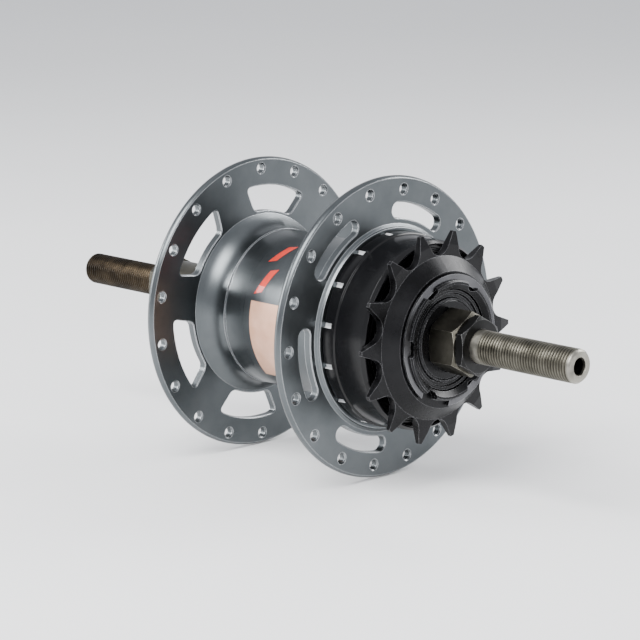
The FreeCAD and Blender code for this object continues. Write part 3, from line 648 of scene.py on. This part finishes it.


# The aluminium's edge colour: polished metal partly, painted highlight partly.
ALUMINIUM = turned_metal(
    "satin_aluminium", (0.088, 0.097, 0.102), (0.128, 0.139, 0.145), (0.26, 0.38), bare_and_shine=(0.62, 0.64, 0.66))
# Each of these metals gets its third colour on its edges: worn metal partly, painted highlight partly.
DRUM_BLACK = worn_metal_with_painted_shine(
    "glossy_black", (0.002, 0.002, 0.0024), (0.004, 0.004, 0.0046), (0.08, 0.08, 0.084), (0.14, 0.22),
    rub_and_shine_width=0.00012, metallic=0.0, shine=0.26)
BLACK_OXIDE = worn_metal_with_painted_shine(
    "black_oxide", (0.003, 0.003, 0.0035), (0.008, 0.008, 0.009), (0.22, 0.22, 0.23), (0.22, 0.36),
    metallic=0.6, shine=0.3)
NUT_STEEL = worn_metal_with_painted_shine(
    "nut_steel", (0.040, 0.037, 0.030), (0.095, 0.090, 0.074), (0.42, 0.40, 0.35), (0.28, 0.48))
BLACK_NUT = worn_metal_with_painted_shine(
    "black_nut", (0.012, 0.012, 0.012), (0.03, 0.03, 0.03), (0.25, 0.25, 0.25), (0.3, 0.5))
CAGE_STEEL = worn_metal_with_painted_shine(
    "cage_steel", (0.35, 0.32, 0.24), (0.48, 0.44, 0.34), (0.7, 0.68, 0.6), (0.25, 0.4))
SPRING_STEEL = worn_metal_with_painted_shine(
    "spring_steel", (0.07, 0.07, 0.075), (0.12, 0.12, 0.125), (0.45, 0.45, 0.46), (0.22, 0.38))
HARD_STEEL = turned_metal("hard_steel", (0.46, 0.46, 0.47), (0.60, 0.60, 0.61), (0.18, 0.34))
BALL_STEEL = turned_metal(
    "ball_steel", (0.70, 0.70, 0.72), (0.82, 0.82, 0.84), (0.05, 0.12), depth=0.000002)
CAP_STEEL = turned_metal("cap_steel", (0.16, 0.165, 0.17), (0.22, 0.226, 0.232), (0.24, 0.4))
AXLE_STEEL = threaded_steel("axle_steel")
BRIGHT_CUT = film("bright_cut", (0.80, 0.81, 0.82), (0.92, 0.92, 0.92))
LABEL_FILM = film("label_film", (0.62, 0.33, 0.21), (0.76, 0.44, 0.30))
RED_FILM = film("red_film", (0.62, 0.028, 0.014), (0.78, 0.05, 0.025))

CAD_MATERIALS = {
    "axle_steel": AXLE_STEEL,
    "nut_steel": NUT_STEEL,
    "black_nut": BLACK_NUT,
    "hard_steel": HARD_STEEL,
    "ball_steel": BALL_STEEL,
    "cage_steel": CAGE_STEEL,
    "spring_steel": SPRING_STEEL,
    "cap_steel": CAP_STEEL,
    "black_oxide": BLACK_OXIDE,
    "black_drum": DRUM_BLACK,
    "shell_aluminium": ALUMINIUM,
    "label_film": LABEL_FILM,
}


# ---- the hub shell ----

def flange_rim(x0, x1):
    """Outline of a flange's rounded rim, from its face at x0 to its face at x1."""
    edge = FLANGE_R - FLANGE_ROUND
    return [(x0, edge)] + arc((x0, edge), ((x0 + x1) / 2, FLANGE_R), (x1, edge), 6)


def shell_profile():
    """Outline of the shell: left boss, left flange, flare, barrel, right flange and right boss."""
    left_out, left_in = LEFT_FLANGE
    right_in, right_out = RIGHT_FLANGE
    left_end, left_r, bevel = LEFT_BOSS["end"], LEFT_BOSS["r"], LEFT_BOSS["bevel"]
    right_end, right_r = RIGHT_BOSS["end"], RIGHT_BOSS["r"]
    line_start = FLARE["end"]
    line_r = BARREL_R - TURNED_LINE["step"]
    line_end = line_start + TURNED_LINE["width"]
    profile = [(left_end, SHELL_BORE_R), (left_end, left_r - bevel), (left_end + bevel, left_r)]
    low_rise, high_rise = LEFT_ROOT_RISE
    profile += [(left_out - ROOT_WIDTH, left_r + low_rise), (left_out, left_r + high_rise)]
    profile += flange_rim(left_out, left_in)
    flare_top = (left_in, FLARE["r"])
    flare_end = (line_start, BARREL_R + TURNED_LINE["step"])
    profile += [flare_top] + arc(flare_top, FLARE["middle"], flare_end, 10)
    profile += [(line_start, line_r), (line_end, line_r), (line_end, BARREL_R)]
    fillet_start = (right_in - BARREL_FILLET, BARREL_R)
    fillet_middle = (right_in - BARREL_FILLET_MIDDLE, BARREL_R + BARREL_FILLET_MIDDLE)
    profile += [fillet_start] + arc(fillet_start, fillet_middle, (right_in, BARREL_R + BARREL_FILLET), 5)
    profile += flange_rim(right_in, right_out)
    profile += [(right_out, right_r + RIGHT_ROOT_RISE), (right_out + ROOT_WIDTH, right_r)]
    profile += [(right_end, right_r - RIGHT_BOSS["draft"]), (right_end, CUP_SEAT_R)]
    profile += [(CUP_START, CUP_SEAT_R), (CUP_START, SHELL_BORE_R)]
    return profile


def make_shell():
    shell = lathe("shell", shell_profile(), [ALUMINIUM], TURNED_SEGMENTS, radius=0.15)
    bm = bmesh.new()
    step = 360 / SPOKES_PER_FLANGE
    for k in range(SPOKES_PER_FLANGE):
        for side, (x0, x1) in (("left", LEFT_FLANGE), ("right", RIGHT_FLANGE)):
            outline = hole_outline(SPOKE_CIRCLE_R[side], HOLE_PHASE[side] + k * step, SPOKE_HOLE_R)
            flared_cutter(bm, outline, x0, x1, HOLE_FLARE)
    for k in range(WINDOWS):
        turn = 360 / WINDOWS * k
        flared_cutter(bm, slot_outline(SLOT["phase"] + turn), *RIGHT_FLANGE, EDGE_FLARE)
        flared_cutter(bm, window_outline(WINDOW["phase"] + turn), *LEFT_FLANGE, EDGE_FLARE)
    carve(shell, bm, [ALUMINIUM])
    smooth(shell)
    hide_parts("hub_shell")
    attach(shell, "hub_shell")


def make_label():
    low, high = LABEL_ANGLES
    corners = [(LABEL_X[0], low), (LABEL_X[1], low), (LABEL_X[1], high), (LABEL_X[0], high)]
    label = barrel_patch("label", corners, LABEL_FILM)
    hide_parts("shell_label")
    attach(label, "hub_shell")
    left = RED_MARK["x"]
    right = left + RED_MARK["width"]
    slant, skew = RED_MARK["slant"], RED_MARK["skew"]
    for index, (start, end) in enumerate(RED_MARK_ANGLES):
        corners = [(left, start), (right, start + skew), (right + slant, end), (left + slant, end - skew)]
        mark = barrel_patch(f"red_mark_{index + 1}", corners, RED_FILM)
        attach(mark, "hub_shell")


# ---- the drum ----

def drum_profile():
    """Outline of the ball cup: its seat in the shell, the drum, the open mouth and the ball race."""
    start = RIGHT_BOSS["end"]
    end = DRUM_FRONT["end"]
    mouth_r = DRUM_MOUTH["r"]
    mouth_x = end - DRUM_MOUTH["depth"]
    race_start, race_end = RACE_X
    seat_r = CUP_SEAT_R - CUP_FIT
    step_x = DRUM_STEP["x"]
    profile = [(CUP_START, CUP_BORE_R), (CUP_START, seat_r), (start, seat_r)]
    profile += [(start, DRUM_R - DRUM_BEVEL), (start + DRUM_BEVEL, DRUM_R)]
    profile += [(step_x, DRUM_R - DRUM_STEP["top"])]
    profile += [(step_x + DRUM_STEP["width"], DRUM_R - DRUM_STEP["foot"])]
    profile += [(DRUM_FRONT["x"], DRUM_FRONT["r"]), (end, DRUM_FRONT["end_r"]), (end, mouth_r)]
    profile += [(mouth_x, mouth_r), (mouth_x - DRUM_MOUTH["slope"], DRUM_INSIDE_R)]
    profile += [(race_end, DRUM_INSIDE_R), (race_end, RACE_R), (race_start, RACE_R), RACE_LIP]
    return profile


def make_drum():
    drum = lathe("drum", drum_profile(), [DRUM_BLACK], TURNED_SEGMENTS, radius=0.2)
    bm = bmesh.new()
    half = math.degrees(DRUM_NOTCH["width"] / 2 / DRUM_R)
    floor_r = DRUM_R - DRUM_NOTCH["depth"]
    outside_r = DRUM_R + DRUM_NOTCH["overcut"]
    corners = [(floor_r, -half), (floor_r, half), (outside_r, half), (outside_r, -half)]
    drum_start = RIGHT_BOSS["end"]
    for k in range(DRUM_NOTCHES):
        centre = DRUM_NOTCH["phase"] + 360 / DRUM_NOTCHES * k
        ends = []
        for x in (drum_start - DRUM_NOTCH["overcut"], drum_start + DRUM_NOTCH["length"]):
            ends.append([bm.verts.new(at(x, r, centre + a)) for r, a in corners])
        for i in range(4):
            n = (i + 1) % 4
            bm.faces.new((ends[0][i], ends[0][n], ends[1][n], ends[1][i]))
        bm.faces.new(list(reversed(ends[0])))
        bm.faces.new(ends[1])
    carve(drum, bm, [BRIGHT_CUT])
    smooth(drum)
    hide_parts("right_ball_cup")
    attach(drum, "hub_shell")


# ---- the axle ----

def make_axle():
    right = thread("axle_thread_right", CORE_END, AXLE_END, bore_r=ROD_BORE_R)
    left = thread("axle_thread_left", -CORE_END, -AXLE_END)
    profile = [(-CORE_END, 0), (-CORE_END, CORE_R), (CORE_END, CORE_R), (CORE_END, ROD_BORE_R)]
    profile += [(ROD_BORE_START, ROD_BORE_R), (ROD_BORE_START, 0)]
    core = lathe("axle_core", profile, [AXLE_STEEL], AXLE_SEGMENTS, radius=0.02)
    smooth(core)
    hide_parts("axle")
    for part in (right, left, core):
        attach(part, "axle")


# ---- CAD nodes that stay ----

def finish_cad_nodes(kept):
    """Gives the CAD nodes that still show their finish and small roundings on their edges."""
    slots = {part["node"]: part["material_slot"] for part in frame["record"]["subparts"]}
    for name in kept:
        node = frame["nodes"][name]
        node.data.materials.clear()
        node.data.materials.append(CAD_MATERIALS[slots[name]])
        bevel = node.modifiers.new("worn_edges", "BEVEL")
        bevel.width = EDGE_WIDTH.get(name, USUAL_EDGE_WIDTH) * MM
        bevel.segments = 2
        bevel.limit_method = "ANGLE"
        bevel.angle_limit = EDGE_ANGLE
        smooth(node)


make_shell()
make_label()
make_drum()
make_axle()
finish_cad_nodes(sorted(set(frame["nodes"]) - REPLACED))


# ---- studio ----

CAMERA_PLACE = (0.5366, -0.5330, 0.1574)
CAMERA_AIM = (0.002, 0.0, -0.002)
CAMERA_LENS = 142
FLOOR_GAP = 0.0002
FLOOR_REACH = 4.0
SKY = (0.93, 0.95, 1.0)
# place, target, width in metres and power in watts
LIGHTS = {
    "key": ((0.10, -0.55, 0.70), (0.0, 0.0, 0.0), 0.55, 14),
    "left_strip": ((-0.75, -0.45, 0.25), (0.0, 0.0, 0.0), 0.35, 7),
    "back": ((0.25, 0.75, 0.45), (0.0, 0.0, 0.0), 0.45, 7),
    "right_fill": ((0.85, -0.10, 0.20), (0.04, 0.0, 0.0), 0.30, 3),
}


def aim(obj, target):
    direction = Vector(target) - obj.location
    obj.rotation_euler = direction.to_track_quat("-Z", "Y").to_euler()


def make_studio():
    camera = bpy.data.objects.new("camera", bpy.data.cameras.new("camera"))
    bpy.context.scene.collection.objects.link(camera)
    camera.location = CAMERA_PLACE
    camera.data.lens = CAMERA_LENS
    camera.data.sensor_width = 36
    camera.data.clip_start = 0.01
    aim(camera, CAMERA_AIM)
    bpy.context.scene.camera = camera
    for name, (place, target, size, power) in LIGHTS.items():
        lamp = bpy.data.objects.new(name, bpy.data.lights.new(name, "AREA"))
        bpy.context.scene.collection.objects.link(lamp)
        lamp.location = place
        lamp.data.size = size
        lamp.data.energy = power
        aim(lamp, target)
    world = bpy.data.worlds.new("studio")
    bpy.context.scene.world = world
    world.use_nodes = True
    background = world.node_tree.nodes["Background"]
    background.inputs["Color"].default_value = (*SKY, 1)
    background.inputs["Strength"].default_value = 1.0
    bm = bmesh.new()
    level = cad_box[0][2] - FLOOR_GAP
    reach = FLOOR_REACH
    corners = [(-reach, -reach), (reach, -reach), (reach, reach), (-reach, reach)]
    bm.faces.new([bm.verts.new((x, y, level)) for x, y in corners])
    piece("floor", bm, [floor_paint("floor_paint")])


make_studio()
